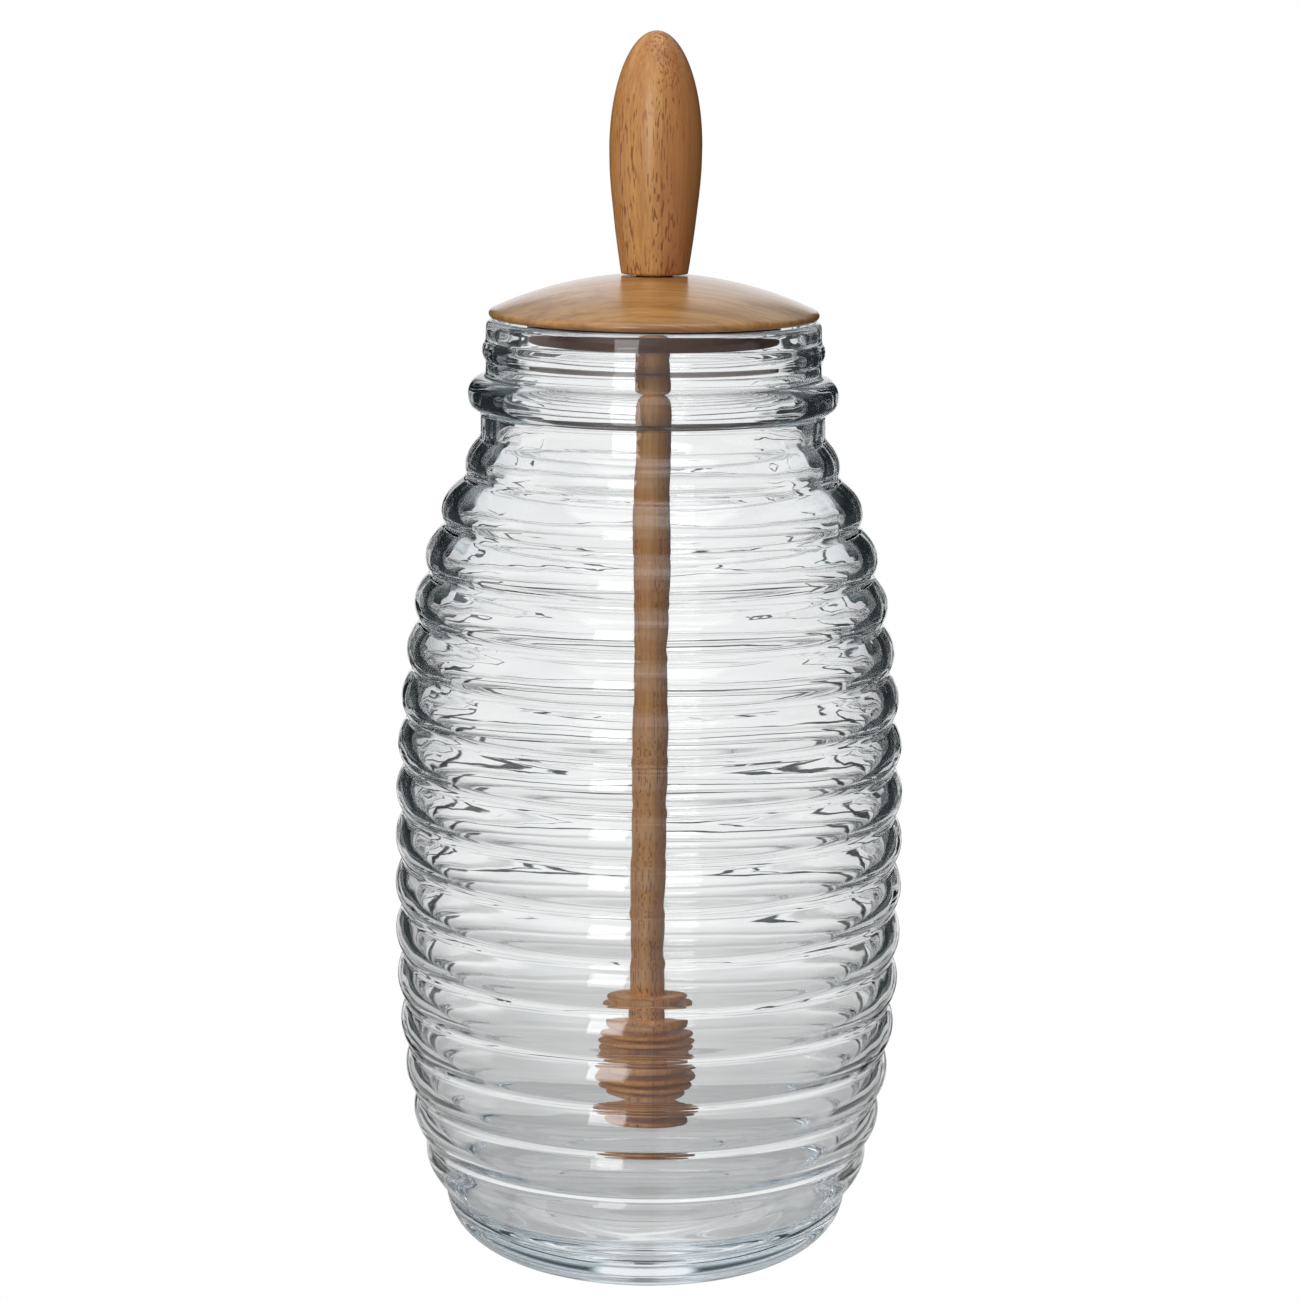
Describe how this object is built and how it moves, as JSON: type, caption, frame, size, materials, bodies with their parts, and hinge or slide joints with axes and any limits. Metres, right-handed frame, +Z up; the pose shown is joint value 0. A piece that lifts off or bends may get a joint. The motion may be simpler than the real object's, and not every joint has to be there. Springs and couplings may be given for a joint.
{
  "type": "honey pot with dipper",
  "caption": "Tall ribbed clear glass honey jar with a domed wooden lid and a turned wooden dipper that stands through the lid.",
  "frame": {"origin": "centre of the jar's resting ring, on the surface it stands on", "axes": "+Z up along the jar's axis, from the base towards the dipper's handle; -Y towards the picture's viewer"},
  "size_m": [0.1056, 0.1056, 0.2533],
  "materials": {
    "clear_glass": "smooth clear glass, faintly grey-green in thick places",
    "lid_wood": "oiled, satin",
    "dipper_wood": "oiled, satin"
  },
  "bodies": {
    "root": {"jar": "clear_glass", "lid": "lid_wood", "dipper": "dipper_wood"}
  },
  "joints": []
}
